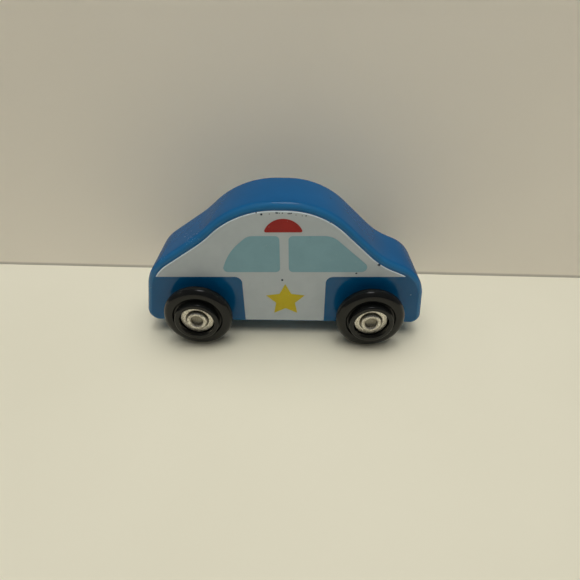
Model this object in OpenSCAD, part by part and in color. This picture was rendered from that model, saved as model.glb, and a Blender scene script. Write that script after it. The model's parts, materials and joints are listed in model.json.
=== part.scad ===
// Toy police car: a painted wooden block with printed sides and four moulded wheels on two axles.
// Millimetres. +X is the front of the car, +Y its left side, +Z up. The wheels stand on z = 0.

/* [Body block] */
// Thickness of the block from side to side
body_width = 21; // [15:0.5:40]
// Height of the flat underside above the floor
ground_gap = 5.3; // [3:0.1:8]
// Radius of the rounded long edges of the sides
edge_r = 2; // [0.5:0.1:3.5]
// Radius of the edges along the underside
bottom_edge_r = 0.6; // [0.2:0.1:2]

/* [Body outline] */
// Rear foot, distance behind the middle
rear_foot_x = 47.3; // [44:0.1:60]
// Rear foot, corner radius
rear_foot_r = 3.7; // [1.5:0.1:8]
// Front foot, distance before the middle
front_foot_x = 46.9; // [44:0.1:60]
// Front foot, corner radius
front_foot_r = 3.1; // [1.5:0.1:8]
// Top of the nose, distance before the middle
nose_x = 44.6; // [40:0.1:47]
// Top of the nose, height
nose_z = 24.5; // [18:0.1:29]
// Top of the nose, radius
nose_r = 13.5; // [4:0.1:20]
// Cowl between hood and windscreen, distance before the middle
cowl_x = 31; // [25:0.1:37]
// Cowl, height
cowl_z = 30.3; // [26:0.1:38]
// Cowl, radius of the hollow curve
cowl_r = 24.5; // [5:0.1:40]
// Front end of the roof, distance before the middle
roof_front_x = 11.4; // [5:0.1:22]
// Front end of the roof, radius
roof_front_r = 27; // [8:0.1:40]
// Rear end of the roof, distance behind the middle
roof_rear_x = 14.4; // [5:0.1:20]
// Rear end of the roof, radius
roof_rear_r = 30; // [8:0.1:40]
// Height of the roof
roof_z = 48.8; // [43:0.1:60]
// Hollow of the rear slope, distance behind the middle
slope_x = 25.7; // [21:0.1:36]
// Hollow of the rear slope, height
slope_z = 38; // [31:0.1:42]
// Hollow of the rear slope, radius
slope_r = 43; // [8:0.5:60]
// Top of the tail, distance behind the middle
tail_x = 43.2; // [38:0.1:47]
// Top of the tail, height
tail_z = 25.9; // [18:0.1:30]
// Top of the tail, radius
tail_r = 15.5; // [4:0.1:24]

/* [Wheels] */
// Outer diameter of a wheel
wheel_d = 22.3; // [18:0.1:30]
// Width of a wheel across the tyre
wheel_w = 4.2; // [3:0.1:10]
// Distance between the axles
wheelbase = 56; // [46:0.5:64]
// Distance of the point halfway between the axles before the middle
axle_shift = 0.1; // [-3:0.1:3]
// Play between a wheel's hub and the side of the block
wheel_gap = 0.7; // [0.4:0.1:2]
// Distance of the tyre's inner face from the hub's inner face
tyre_setback = 1.5; // [0:0.1:4]
// Radius of the tyre's shoulders
shoulder_r = 1.9; // [0.5:0.1:3]
// Width of the tyre's ring on the wheel's face
tyre_ring = 3.4; // [2:0.1:5]
// Radius of the tyre's inner edge, where its face drops to the hollow
lip_edge_r = 1.3; // [0.1:0.1:2]
// Depth of the hollow between tyre and hub collar
hollow_depth = 1.6; // [0.3:0.1:2]
// Wall of the hub collar around the washer
collar_wall = 1.5; // [0.8:0.1:2]
// Height of the hub collar above the tyre's face
collar_rise = 1.8; // [0:0.1:3]
// Radius of the hub collar's outer edge
collar_edge_r = 0.6; // [0.1:0.1:0.7]

/* [Axles and washers] */
// Diameter of an axle
axle_d = 5; // [3:0.1:6]
// Radial play of an axle in the block and in the wheels
run_play = 0.05; // [0.03:0.01:0.1]
// Reach of the rolled end beyond the axle's diameter, on each side
roll_lip = 0.95; // [0.5:0.05:2]
// Wall of the axle's tubular end
tube_wall = 0.6; // [0.3:0.1:1]
// Depth of the hole in an axle's end
hole_depth = 1.5; // [1:0.1:8]
// Height of the rolled bead's middle above its washer
bead_lift = 0.35; // [0:0.05:0.4]
// Diameter of a washer
washer_d = 10.7; // [9:0.1:13]
// Thickness of a washer
washer_t = 0.8; // [0.4:0.1:1.5]
// Radius of a washer's outer edge
washer_edge_r = 0.25; // [0.1:0.05:0.3]
// Depth of a washer's face below the rim of the hub collar
washer_sink = 1.7; // [0.3:0.1:2]
// Play between a washer and its seat in the wheel
seat_play = 0.25; // [0.15:0.05:0.5]

/* [Print] */
// Thickness of the white layer
panel_t = 0.12; // [0.05:0.01:0.3]
// Thickness of the coloured layers on the white
ink_t = 0.08; // [0.05:0.01:0.2]
// Turn of the print against the block, in degrees
print_tilt = 0.85; // [-2:0.05:2]
// Height of the line that ends the white above the wheels
panel_z = 23.9; // [20:0.1:27]
// Drop of the white's upper edge below the start of the block's rounding
panel_drop = 0.5; // [0:0.1:3]
// Distance of the door's middle before the middle of the car
door_shift = -0.1; // [-3:0.1:3]
// Width of the door
door_w = 26.7; // [18:0.1:34]
// Radius of the corners between door and line
door_r = 2.4; // [0.5:0.1:5]
// Rise of the windows above the line
sill_rise = 1.85; // [0.5:0.05:4]
// Distance of the window post's middle before the middle of the car
post_shift = 0.15; // [-2:0.05:2]
// Width of the post between the windows
post_w = 2.7; // [1:0.1:5]
// Corner radius of the windows
window_r = 1.4; // [0.3:0.1:3]
// Lower rear corner of the rear window, distance before the slope's hollow
rear_sill_in = 6.1; // [4:0.1:9]
// Upper rear corner of the rear window, distance before the roof's rear end
rear_head_in = 3.7; // [2:0.1:6]
// Radius of that corner
rear_head_r = 4; // [0.5:0.1:8]
// Swell of the rear window's rear edge
rear_swell = 1.85; // [0.5:0.05:3]
// Radius of that swell
rear_swell_r = 18; // [4:0.5:30]
// Lower front corner of the front window before rounding, distance behind the cowl
front_sill_in = 2.5; // [1:0.1:6]
// Radius of that corner
front_sill_r = 1.7; // [0.5:0.1:4]
// Upper front corner of the front window, distance before the roof's front end
front_head_out = 3.2; // [0:0.1:5]
// Radius of that corner
front_head_r = 6.7; // [1:0.1:12]
// Radius of the beacon's dome
beacon_r = 6.05; // [4.5:0.05:9]
// Height of the beacon
beacon_h = 4.35; // [2.5:0.05:6]
// Radius of the beacon's lower corners
beacon_corner_r = 0.5; // [0.2:0.05:0.8]
// Distance of the beacon below the roof
beacon_drop = 4.7; // [4:0.1:7]
// Gap between the beacon and the windows
beacon_gap = 1.25; // [0.5:0.05:3]
// Distance of the star's middle before the middle of the door
star_shift = 0.4; // [-2:0.1:2]
// Distance of the star's middle below the line
star_drop = 9.4; // [8:0.1:11]
// Radius to the star's tips
star_r = 6.6; // [4:0.1:7.5]
// Radius to the star's inner corners
star_inner_r = 3.3; // [1.6:0.1:4]

/* [Hidden] */
// Largest turn of a sampled arc between two points, in degrees
arc_step = 5;
// Steps in the quarter turn of a rounded edge
edge_steps = 6;
// Overlap of a cut beyond the face it opens
cut = 1;
// Least flat left between two fillets of one wall
land = 0.4;
// Tips of the star
tips = 5;
// Segments of round pieces
$fn = 96;

side_y = body_width / 2;
middle_z = (ground_gap + nose_z) / 2;
long_edge_r = min(edge_r, min(front_foot_r, rear_foot_r) - land);
under_edge_r = min(bottom_edge_r, long_edge_r);
wheel_r = wheel_d / 2;
axle_z = wheel_r;
front_x = axle_shift + wheelbase / 2;
rear_x = axle_shift - wheelbase / 2;
bore_d = axle_d + 2 * run_play;
shoulder = min(shoulder_r, (wheel_w - land) / 2);
tyre_back = wheel_gap + tyre_setback;
tyre_face = tyre_back + wheel_w;
lip_r = wheel_r - tyre_ring;
lip_edge = min(lip_edge_r, hollow_depth, max(land, tyre_ring - shoulder));
collar_face = tyre_face + collar_rise;
washer_face = collar_face - washer_sink;
washer_back = washer_face - washer_t;
seat_floor = washer_back - seat_play;
seat_r = washer_d / 2 + seat_play;
collar_r = seat_r + collar_wall;
hole_r = axle_d / 2 - tube_wall;
bead_r = (roll_lip + tube_wall) / 2;
bead_z = side_y + washer_face + bead_lift;

door_rear = door_shift - door_w / 2;
door_front = door_shift + door_w / 2;
beacon_top = roof_z - beacon_drop;
beacon_z = beacon_top - beacon_h;
window_top = beacon_z - beacon_gap;
window_bottom = panel_z + sill_rise;
rear_post = post_shift - post_w / 2;
front_post = post_shift + post_w / 2;
rear_sill = [rear_sill_in - slope_x, window_bottom];
rear_head = [rear_head_in - roof_rear_x, window_top];

blue = "#1f78bf";
white = "#eef1f0";
pale_blue = "#a9cdd8";
red = "#c8403c";
yellow = "#ecd04a";
black = "#26272a";
steel = "#c9c6bd";

function unit(v) = v / norm(v);

function direction(angle) = [cos(angle), sin(angle)];

function place(corner) = [corner[0], corner[1]];

// Edge radius at a share of a corner's arc, for a corner that has one
function edge_radius(corner, share) =
    len(corner) > 3 ? corner[3] + (corner[4] - corner[3]) * share : 0;

// Half the angle between the two sides of corner i
function half_angle(corners, i) =
    let (
        count = len(corners),
        p = place(corners[i]),
        back = unit(place(corners[(i + count - 1) % count]) - p),
        ahead = unit(place(corners[(i + 1) % count]) - p)
    )
    acos(back * ahead) / 2;

// Length that corner i takes from each of its two sides when nothing limits it
function full_leg(corners, i) = corners[i][2] / tan(half_angle(corners, i));

// Share of their full length that the two corners of side i can have
function side_share(corners, i) =
    let (
        j = (i + 1) % len(corners),
        side = norm(place(corners[j]) - place(corners[i])),
        wanted = full_leg(corners, i) + full_leg(corners, j)
    )
    min(1, side / (wanted + land));

// Samples of rounded corner i: point, outward normal, edge radius
function corner_arc(corners, i) =
    let (
        count = len(corners),
        h = (i + count - 1) % count,
        corner = corners[i],
        p = place(corner),
        back = unit(place(corners[h]) - p),
        ahead = unit(place(corners[(i + 1) % count]) - p),
        half = half_angle(corners, i),
        radius = corner[2] * min(side_share(corners, h), side_share(corners, i)),
        middle = p + unit(back + ahead) * radius / sin(half),
        first = p + back * radius / tan(half) - middle,
        start = atan2(first[1], first[0]),
        bend = sign(cross(ahead, back)),
        sweep = 180 - 2 * half,
        steps = ceil(sweep / arc_step)
    )
    [
        for (k = [0:steps])
            let (out = direction(start + bend * sweep * k / steps))
            [middle + radius * out, bend * out, edge_radius(corner, k / steps)]
    ];

// Samples of a closed outline with rounded corners
function samples(corners) = [for (i = [0:len(corners) - 1]) each corner_arc(corners, i)];

// Points of a closed outline with rounded corners
function rounded(corners) = [for (s = samples(corners)) s[0]];

// Points of an arc, without its first point
function arc(middle, radius, first, last) =
    let (steps = ceil((last - first) / arc_step))
    [for (k = [1:steps]) middle + radius * direction(first + (last - first) * k / steps)];

// Corners are listed counter-clockwise, seen from the right side of the car: place and radius.
// Those of the block also have the edge radius where the corner's arc starts and where it ends.
body_corners = [
    [-rear_foot_x, ground_gap, rear_foot_r, long_edge_r, under_edge_r],
    [front_foot_x, ground_gap, front_foot_r, under_edge_r, long_edge_r],
    [nose_x, nose_z, nose_r, long_edge_r, long_edge_r],
    [cowl_x, cowl_z, cowl_r, long_edge_r, long_edge_r],
    [roof_front_x, roof_z, roof_front_r, long_edge_r, long_edge_r],
    [-roof_rear_x, roof_z, roof_rear_r, long_edge_r, long_edge_r],
    [-slope_x, slope_z, slope_r, long_edge_r, long_edge_r],
    [-tail_x, tail_z, tail_r, long_edge_r, long_edge_r]
];

// White layer before the block's outline trims it: all above the line, and the door below it
panel_corners = [
    [-rear_foot_x, panel_z, door_r],
    [door_rear, panel_z, door_r],
    [door_rear, 0, door_r],
    [door_front, 0, door_r],
    [door_front, panel_z, door_r],
    [front_foot_x, panel_z, door_r],
    [front_foot_x, roof_z + door_r, door_r],
    [-rear_foot_x, roof_z + door_r, door_r]
];

// The rear edge swells outwards halfway between sill and head
rear_edge = unit(rear_head - rear_sill);
rear_bend = (rear_sill + rear_head) / 2 + rear_swell * [-rear_edge[1], rear_edge[0]];
rear_window_corners = [
    [rear_sill[0], rear_sill[1], window_r],
    [rear_post, window_bottom, window_r],
    [rear_post, window_top, window_r],
    [rear_head[0], rear_head[1], rear_head_r],
    [rear_bend[0], rear_bend[1], rear_swell_r]
];

front_window_corners = [
    [front_post, window_bottom, window_r],
    [cowl_x - front_sill_in, window_bottom, front_sill_r],
    [roof_front_x + front_head_out, window_top, front_head_r],
    [front_post, window_top, window_r]
];

body_samples = samples(body_corners);
flat_outline = [for (s = body_samples) s[0] - s[1] * s[2]];

// One ring of the block's skin: share 0 bounds the flat side, share 1 is the full outline
function skin_ring(share, way) =
    [
        for (s = body_samples)
            let (p = s[0] - s[1] * s[2] * (1 - sin(90 * share)))
            [p[0], way * (side_y - s[2] * (1 - cos(90 * share))), p[1]]
    ];

module block() {
    count = len(body_samples);
    rings = 2 * (edge_steps + 1);
    right = [for (j = [0:edge_steps]) each skin_ring(j / edge_steps, -1)];
    left = [for (j = [0:edge_steps]) each skin_ring(1 - j / edge_steps, 1)];
    middles = [[0, -side_y, middle_z], [0, side_y, middle_z]];
    right_middle = rings * count;
    left_middle = right_middle + 1;
    last = right_middle - count;
    right_cap = [for (k = [0:count - 1]) [right_middle, (k + 1) % count, k]];
    left_cap = [for (k = [0:count - 1]) [left_middle, last + k, last + (k + 1) % count]];
    skin = [
        for (j = [0:rings - 2], k = [0:count - 1])
            let (a = j * count + k, b = j * count + (k + 1) % count)
            each [[a, b, b + count], [a, b + count, a + count]]
    ];
    polyhedron(points = concat(right, left, middles), faces = concat(right_cap, skin, left_cap));
}

module body() {
    color(blue)
        difference() {
            block();
            for (x = [front_x, rear_x])
                translate([x, 0, axle_z])
                    rotate([90, 0, 0])
                        cylinder(d = bore_d, h = body_width + 2 * cut, center = true);
        }
}

// Half of an axle's section: rod, rolled bead on the washer, hole in the end
module axle_section() {
    difference() {
        union() {
            square([axle_d / 2, bead_z]);
            intersection() {
                translate([hole_r + bead_r, bead_z])
                    circle(r = bead_r);
                translate([0, side_y + washer_face])
                    square([axle_d + roll_lip, bead_lift + bead_r + cut]);
            }
        }
        translate([0, bead_z + bead_r - hole_depth])
            square([hole_r, hole_depth + cut]);
    }
}

module axle(x) {
    color(steel)
        translate([x, 0, axle_z])
            rotate([90, 0, 0])
                rotate_extrude()
                    union() {
                        axle_section();
                        mirror([0, 1])
                            axle_section();
                    }
}

// Section of a bored disc with a rounded outer edge on its top face
module disc_section(outer, base, top, radius) {
    translate([bore_d / 2, base])
        square([outer - radius - bore_d / 2, top - base]);
    translate([bore_d / 2, base])
        square([outer - bore_d / 2, top - base - radius]);
    translate([outer - radius, top - radius])
        circle(r = radius);
}

module tyre_section() {
    translate([bore_d / 2, tyre_back])
        square([wheel_r - shoulder - bore_d / 2, wheel_w]);
    translate([bore_d / 2, tyre_back + shoulder])
        square([wheel_r - bore_d / 2, wheel_w - 2 * shoulder]);
    for (z = [tyre_back + shoulder, tyre_face - shoulder])
        translate([wheel_r - shoulder, z])
            circle(r = shoulder);
}

// What is cut from the tyre's face: the hollow around the hub, with a rounded edge
module hollow_section() {
    translate([0, tyre_face - hollow_depth])
        square([lip_r, hollow_depth + cut]);
    translate([lip_r, tyre_face - lip_edge])
        difference() {
            translate([-cut, 0])
                square([lip_edge + cut, lip_edge + cut]);
            translate([lip_edge, 0])
                circle(r = lip_edge);
        }
}

module wheel_section() {
    difference() {
        union() {
            difference() {
                tyre_section();
                hollow_section();
            }
            disc_section(collar_r, wheel_gap, collar_face, collar_edge_r);
        }
        translate([0, seat_floor])
            square([seat_r, collar_face - seat_floor + cut]);
    }
}

module wheel(x) {
    color(black)
        translate([x, -side_y, axle_z])
            rotate([90, 0, 0])
                rotate_extrude()
                    wheel_section();
}

module washer(x) {
    color(steel)
        translate([x, -side_y, axle_z])
            rotate([90, 0, 0])
                rotate_extrude()
                    disc_section(washer_d / 2, washer_back, washer_face, washer_edge_r);
}

// A printed layer on the right side, at a height above the wood
module film(height, thickness) {
    translate([0, -side_y - height, 0])
        rotate([90, 0, 0])
            linear_extrude(thickness)
                children();
}

// Turns the artwork about the middle of the line
module tilted() {
    translate([0, panel_z])
        rotate(print_tilt)
            translate([0, -panel_z])
                children();
}

module panel() {
    color(white)
        film(0, panel_t)
            intersection() {
                polygon(flat_outline);
                translate([0, -panel_drop])
                    polygon(flat_outline);
                tilted()
                    polygon(rounded(panel_corners));
            }
}

module ink(tint) {
    color(tint)
        film(panel_t, ink_t)
            tilted()
                children();
}

module rear_window() {
    ink(pale_blue)
        polygon(rounded(rear_window_corners));
}

module front_window() {
    ink(pale_blue)
        polygon(rounded(front_window_corners));
}

// A dome over a straight lower edge, with rounded lower corners that touch the dome
module beacon() {
    dome = [0, beacon_top - beacon_r];
    lift = beacon_z + beacon_corner_r - dome[1];
    reach = sqrt(pow(beacon_r - beacon_corner_r, 2) - lift * lift);
    rise = atan2(lift, reach);
    ink(red)
        polygon(concat(
            arc(dome, beacon_r, rise, 180 - rise),
            arc(dome + [-reach, lift], beacon_corner_r, 180 - rise, 270),
            [dome + [reach, lift - beacon_corner_r]],
            arc(dome + [reach, lift], beacon_corner_r, 270, 360 + rise)
        ));
}

module star() {
    ink(yellow)
        translate([door_shift + star_shift, panel_z - star_drop])
            polygon([
                for (k = [0:2 * tips - 1])
                    (k % 2 == 0 ? star_r : star_inner_r) * direction(90 + 180 * k / tips)
            ]);
}

// The left side mirrors the right one
module to_left() {
    mirror([0, 1, 0])
        children();
}

module front_axle() axle(front_x);
module rear_axle() axle(rear_x);
module front_right_wheel() wheel(front_x);
module rear_right_wheel() wheel(rear_x);
module front_left_wheel() to_left() wheel(front_x);
module rear_left_wheel() to_left() wheel(rear_x);
module front_right_washer() washer(front_x);
module rear_right_washer() washer(rear_x);
module front_left_washer() to_left() washer(front_x);
module rear_left_washer() to_left() washer(rear_x);
module right_panel() panel();
module right_rear_window() rear_window();
module right_front_window() front_window();
module right_beacon() beacon();
module right_star() star();
module left_panel() to_left() panel();
module left_rear_window() to_left() rear_window();
module left_front_window() to_left() front_window();
module left_beacon() to_left() beacon();
module left_star() to_left() star();

body();
front_axle();
rear_axle();
front_right_wheel();
rear_right_wheel();
front_left_wheel();
rear_left_wheel();
front_right_washer();
rear_right_washer();
front_left_washer();
rear_left_washer();
right_panel();
right_rear_window();
right_front_window();
right_beacon();
right_star();
left_panel();
left_rear_window();
left_front_window();
left_beacon();
left_star();
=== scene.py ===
import json
import logging
import math
from dataclasses import dataclass
from enum import Enum
from typing import Callable, Sequence

import bmesh
import bpy
import numpy as np
from mathutils import Matrix, Vector
from mathutils.geometry import delaunay_2d_cdt


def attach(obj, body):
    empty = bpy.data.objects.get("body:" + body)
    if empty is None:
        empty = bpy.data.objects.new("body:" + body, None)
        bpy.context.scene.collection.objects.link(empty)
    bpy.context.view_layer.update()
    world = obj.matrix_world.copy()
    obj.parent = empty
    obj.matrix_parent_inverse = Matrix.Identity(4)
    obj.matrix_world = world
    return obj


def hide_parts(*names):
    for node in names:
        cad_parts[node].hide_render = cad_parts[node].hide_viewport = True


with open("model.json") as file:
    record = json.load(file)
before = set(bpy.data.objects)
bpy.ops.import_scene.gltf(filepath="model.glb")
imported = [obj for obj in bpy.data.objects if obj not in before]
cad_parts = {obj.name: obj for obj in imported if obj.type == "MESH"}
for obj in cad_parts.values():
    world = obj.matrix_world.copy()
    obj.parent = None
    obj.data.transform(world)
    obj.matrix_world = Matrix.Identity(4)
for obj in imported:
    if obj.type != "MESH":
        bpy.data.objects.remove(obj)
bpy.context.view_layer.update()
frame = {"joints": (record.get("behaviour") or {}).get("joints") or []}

LOG = logging.getLogger("toy_car")
MM = 0.001
WELD = 1e-7
TINY = 1e-12
MERGE = 1e-5
BORE_SIDES = 96
DRILL_REACH = 3.0
SECTION_STEP_DEG, SECTION_LEAST = 7.5, 3
NOISE_LOW, NOISE_HIGH = 0.3, 0.7
GLOSS_LOW, GLOSS_HIGH = 0.25, 0.75
SPOT_CORE, SPOT_RIM = 0.3, 0.6

Span = tuple[float, float]
Triple = tuple[float, float, float]
Colour = Triple
Spot = tuple[float, float, float, float]
Value = object
Socket = bpy.types.NodeSocket
Piece = bpy.types.Object


class Slot(Enum):
    """The record's material slots."""

    BLUE = "blue_paint"
    WHITE = "white_ink"
    WINDOW = "window_ink"
    RED = "red_ink"
    YELLOW = "yellow_ink"
    BLACK = "wheel_black"
    STEEL = "steel"


class Side(Enum):
    """A side of the car, with the sign of its Y."""

    RIGHT = -1
    LEFT = 1

    @property
    def label(self) -> str:
        """The side's name in the names of pieces."""
        return self.name.lower()


class End(Enum):
    """An end of the car, by its name in the names of pieces."""

    FRONT = "front"
    REAR = "rear"


class Graph:
    """Adds nodes to one tree and wires them."""

    def __init__(self, tree: bpy.types.NodeTree) -> None:
        """Keeps the shader or geometry tree that the nodes go into."""
        self.tree = tree

    def add(self, kind: str, inputs: dict | None = None, **settings: Value) -> bpy.types.Node:
        """Adds one node.

        Args:
            kind: Blender's name of the node type.
            inputs: A value or an output socket for each input, by name or place.
            settings: The node's own properties.

        Returns:
            The new node.
        """
        node = self.tree.nodes.new(kind)
        for name, value in settings.items():
            setattr(node, name, value)
        for key, value in (inputs or {}).items():
            if isinstance(value, Socket):
                self.tree.links.new(value, node.inputs[key])
            else:
                node.inputs[key].default_value = value
        return node

    def math(self, operation: str, a: Value, b: Value = 0.0, c: Value = 0.0) -> Socket:
        """Returns the result of a Math node."""
        return self.add("ShaderNodeMath", {0: a, 1: b, 2: c}, operation=operation).outputs[0]

    def vector(self, operation: str, a: Value, b: Value = (0.0, 0.0, 0.0)) -> Socket:
        """Adds a Vector Math node.

        Args:
            operation: Blender's name of the operation.
            a: First vector.
            b: Second vector, or the factor of a SCALE.

        Returns:
            The result's socket.
        """
        second = "Scale" if operation == "SCALE" else 1
        node = self.add("ShaderNodeVectorMath", {0: a, second: b}, operation=operation)
        return node.outputs["Value" if operation in ("DISTANCE", "LENGTH") else "Vector"]

    def split(self, vector: Socket) -> list[Socket]:
        """Returns the three parts of a vector."""
        return list(self.add("ShaderNodeSeparateXYZ", {0: vector}).outputs)

    def join(self, x: Value, y: Value, z: Value) -> Socket:
        """Returns a vector made of three values."""
        return self.add("ShaderNodeCombineXYZ", {0: x, 1: y, 2: z}).outputs[0]


class Shading(Graph):
    """A material's node tree, with the few nodes that the finishes share."""

    def __init__(self, name: str) -> None:
        """Makes the material.

        Args:
            name: Name of the material.
        """
        self.made = bpy.data.materials.new(name)
        self.made.use_nodes = True
        super().__init__(self.made.node_tree)
        self.shader = self.tree.nodes["Principled BSDF"]
        self.coords = self.add("ShaderNodeTexCoord").outputs["Object"]

    def fixed(self, **values: Value) -> None:
        """Sets sockets of the shader that are the same all over the surface."""
        for name, value in values.items():
            self.shader.inputs[name.replace("_", " ")].default_value = value

    def feed(self, name: str, value: Socket) -> None:
        """Wires one input of the shader."""
        self.tree.links.new(value, self.shader.inputs[name])

    def stretched(self, scale: Triple) -> Socket:
        """Returns the Object coordinates, scaled by axis."""
        return self.add("ShaderNodeMapping", {"Vector": self.coords, "Scale": scale}).outputs[0]

    def noise(self, scale: float, detail: float = 2.0, vector: Value = None) -> Socket:
        """Returns a noise of so many features per metre, on Object or other coordinates."""
        inputs = {"Vector": vector or self.coords, "Scale": scale, "Detail": detail}
        return self.add("ShaderNodeTexNoise", inputs).outputs[0]

    def ramp(self, value: Value, low: float, high: float, first: float = 0.0, last: float = 1.0) -> Socket:
        """Returns a smooth step from first to last, which a value takes between low and high."""
        inputs = {0: value, 1: low, 2: high, 3: first, 4: last}
        return self.add("ShaderNodeMapRange", inputs, interpolation_type="SMOOTHSTEP").outputs[0]

    def gloss(self, haze: float, middle: float, less: float, more: float) -> Socket:
        """Returns a roughness that varies about its middle with a haze of so many features per metre."""
        return self.ramp(self.noise(haze, 3.0), GLOSS_LOW, GLOSS_HIGH, middle - less, middle + more)

    def rings(self, radius: Socket, count: float) -> Socket:
        """Returns turning marks about the axle, of so many features per metre."""
        return self.noise(1.0, 2.0, self.join(self.math("MULTIPLY", radius, count), 0.0, 0.0))

    def mix(self, factor: Value, a: Value, b: Value) -> Socket:
        """Mixes two colours.

        Args:
            factor: Share of the second colour.
            a: First colour.
            b: Second colour.

        Returns:
            The mixed colour's socket.
        """
        colours = [c if isinstance(c, Socket) else (*c, 1.0) for c in (a, b)]
        node = self.add("ShaderNodeMix", {0: factor, 6: colours[0], 7: colours[1]}, data_type="RGBA")
        return node.outputs[2]

    def bump(self, height: Value, depth: float, under: Value = None) -> Socket:
        """Adds a bump.

        Args:
            height: The relief, from 0 to 1.
            depth: Depth of the relief in metres.
            under: Normal of a bump below this one.

        Returns:
            The normal's socket.
        """
        inputs = {"Height": height, "Distance": depth, "Strength": 1.0}
        if under is not None:
            inputs["Normal"] = under
        return self.add("ShaderNodeBump", inputs).outputs[0]

    def attribute(self, name: str) -> Socket:
        """Returns the value of an attribute of the piece's mesh."""
        return self.add("ShaderNodeAttribute", attribute_name=name).outputs["Fac"]

    def spots(self, places: Sequence[Spot], ragged: float, crumb: float = 2600.0) -> Socket:
        """Marks small ragged spots.

        Args:
            places: Place and radius of each spot, in millimetres.
            ragged: Width of the ragged edge, in millimetres.
            crumb: Features of the ragged edge per metre.

        Returns:
            1 inside a spot and 0 outside.
        """
        rough = self.math("MULTIPLY", self.noise(crumb, 2.0), ragged * MM)
        found = None
        for x, y, z, radius in places:
            far = self.vector("DISTANCE", self.coords, (x * MM, y * MM, z * MM))
            reach = self.math("ADD", far, rough)
            core, rim = (radius + SPOT_CORE * ragged) * MM, (radius + SPOT_RIM * ragged) * MM
            spot = self.ramp(reach, core, rim, 1.0, 0.0)
            found = spot if found is None else self.math("MAXIMUM", found, spot)
        return found


@dataclass(frozen=True)
class BluePaint:
    """Gloss paint over a wooden block, worn and lightened along its long edges, partly by painted light, and
    scuffed on the rear slope.

    Places are in millimetres, depths in metres, and noises in features per metre. A span is the two
    levels between which a noise comes to show, and a swing is how far the roughness goes below and
    above its middle.
    """

    deep: Colour = (0.0012, 0.1, 0.265)
    light: Colour = (0.0022, 0.118, 0.305)
    thin_paint_and_light: Colour = (0.02, 0.163, 0.365)
    worn: Colour = (0.16, 0.34, 0.52)
    dirt: Colour = (0.004, 0.012, 0.03)
    roughness: float = 0.12
    specular: float = 0.36
    edge_from: float = 8.9
    edge_full: float = 10.0
    edge_fall: float = 10.44
    edge_to: float = 10.495
    scuffs: tuple[Spot, ...] = (
        (-28.2, -8.4, 36.3, 2.4), (-25.6, -8.8, 38.2, 2.0), (-37.7, -9.2, 29.5, 1.6),
        (-31.0, -3.0, 34.6, 2.2), (22.0, 7.5, 36.6, 2.0), (-20.0, 8.5, 43.0, 2.2),
    )
    scuff_ragged: float = 2.5
    scuff_share: float = 0.8
    specks: tuple[Spot, ...] = ((14.2, 1.8, 45.2, 0.28), (-34.0, -6.4, 31.9, 0.22))
    chips: tuple[Spot, ...] = ((41.3, -10.5, 17.3, 0.22), (-41.6, 10.5, 15.2, 0.25))
    chip_ragged: float = 0.2
    mottle: float = 55.0
    grit: float = 2100.0
    grit_span: Span = (0.6, 0.7)
    rub: float = 420.0
    rub_span: Span = (0.6, 0.72)
    worn_rough: float = 0.3
    haze: float = 160.0
    gloss_swing: Span = (0.03, 0.05)
    grain: Triple = (35.0, 700.0, 700.0)
    grain_depth: float = 2.2e-5
    ripple: float = 750.0
    ripple_depth: float = 6e-6

    def material(self) -> bpy.types.Material:
        """Makes the painted finish.

        Returns:
            The material.
        """
        s = Shading("blue_gloss_paint")
        across = s.math("ABSOLUTE", s.split(s.coords)[1])
        tone = s.mix(s.ramp(s.noise(self.mottle, 4.0), NOISE_LOW, NOISE_HIGH), self.deep, self.light)
        # The rounded long edges are lightened: partly thinner paint, partly painted light where the rounding
        # gets little light.
        rise = s.ramp(across, self.edge_from * MM, self.edge_full * MM)
        fall = s.ramp(across, self.edge_fall * MM, self.edge_to * MM, 1.0, 0.0)
        edge = s.math("MULTIPLY", rise, fall)
        tone = s.mix(edge, tone, self.thin_paint_and_light)
        grit = s.ramp(s.noise(self.grit, 3.0), *self.grit_span)
        scuff = s.math("MULTIPLY", s.spots(self.scuffs, self.scuff_ragged), grit)
        rub = s.math("MULTIPLY", edge, s.ramp(s.noise(self.rub, 4.0), *self.rub_span))
        rub = s.math("MULTIPLY", rub, grit)
        worn = s.math("MAXIMUM", rub, s.math("MULTIPLY", scuff, self.scuff_share))
        colour = s.mix(worn, tone, self.worn)
        colour = s.mix(s.spots(self.specks, self.chip_ragged), colour, self.dirt)
        colour = s.mix(s.spots(self.chips, self.chip_ragged), colour, self.worn)
        s.feed("Base Color", colour)
        gloss = s.gloss(self.haze, self.roughness, *self.gloss_swing)
        s.feed("Roughness", s.math("MULTIPLY_ADD", worn, self.worn_rough, gloss))
        s.fixed(Specular_IOR_Level=self.specular)
        relief = s.bump(s.noise(1.0, 3.0, s.stretched(self.grain)), self.grain_depth)
        s.feed("Normal", s.bump(s.noise(self.ripple, 2.0), self.ripple_depth, relief))
        return s.made


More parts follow.
